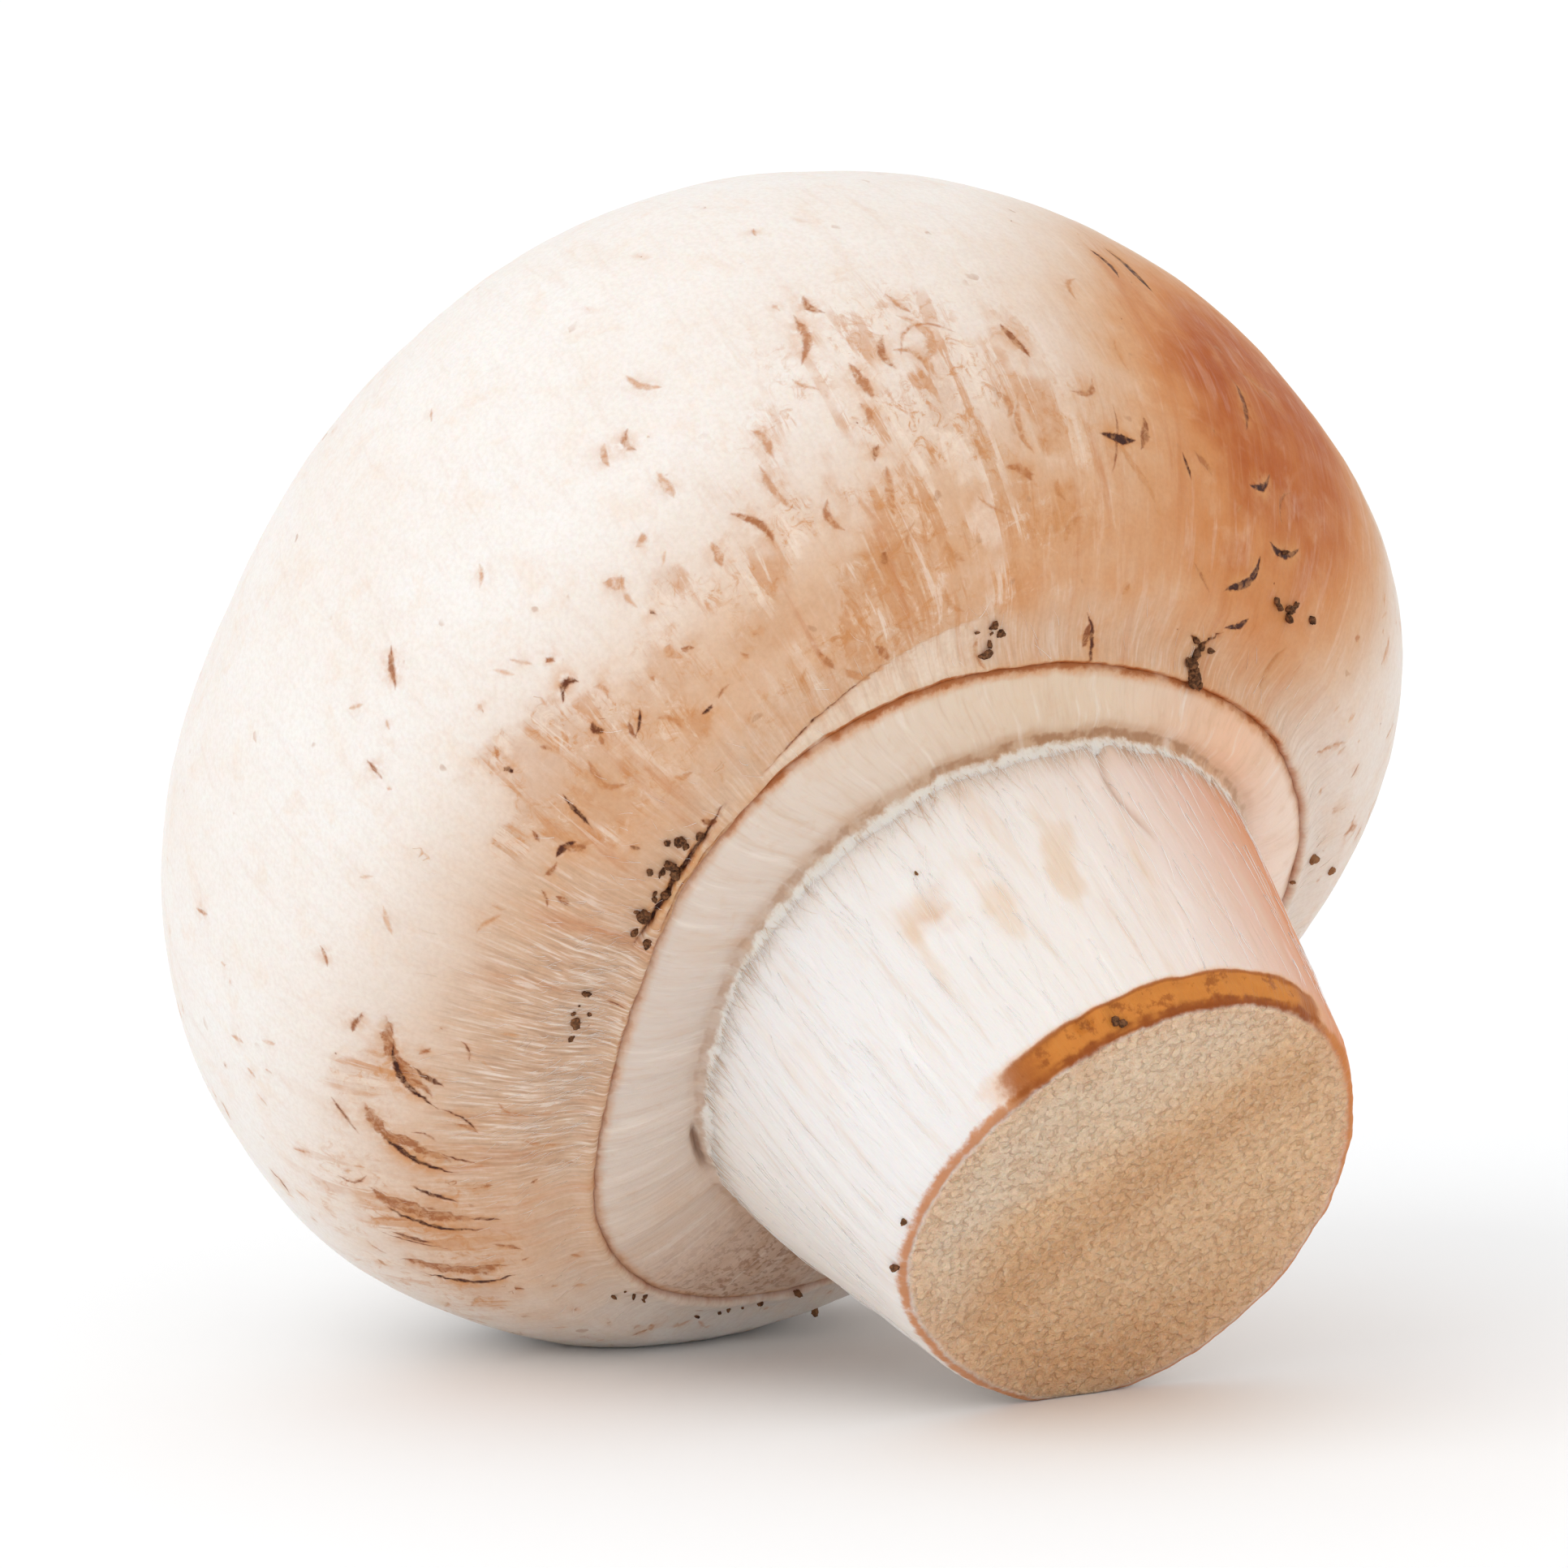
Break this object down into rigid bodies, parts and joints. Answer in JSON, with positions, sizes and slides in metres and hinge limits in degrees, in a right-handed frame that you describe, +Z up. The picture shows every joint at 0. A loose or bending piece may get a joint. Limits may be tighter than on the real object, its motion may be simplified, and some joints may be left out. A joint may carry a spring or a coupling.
{
  "type": "button mushroom",
  "caption": "White button mushroom lying on its side: round cap with rolled margin, closed veil and short stem with a cut, browned end.",
  "frame": {"origin": "on the floor, under the middle of the whole mushroom's box", "axes": "+Z up; the mushroom's own axis lies in the YZ plane, with the cut end of the stem towards -Y and down, and the crown towards +Y and up; +X is the cap's width"},
  "size_m": [0.0486, 0.047, 0.0462],
  "materials": {
    "cap_skin": "matt, silky ivory skin with tan bruises and small brown flecks",
    "veil_skin": "matt, pale grey-cream fibrous skin",
    "stem_flesh": "matt, white silky fibres, with a tan, granular cut end"
  },
  "bodies": {
    "root": {"cap": "cap_skin", "veil": "veil_skin", "stem": "stem_flesh"}
  },
  "joints": []
}
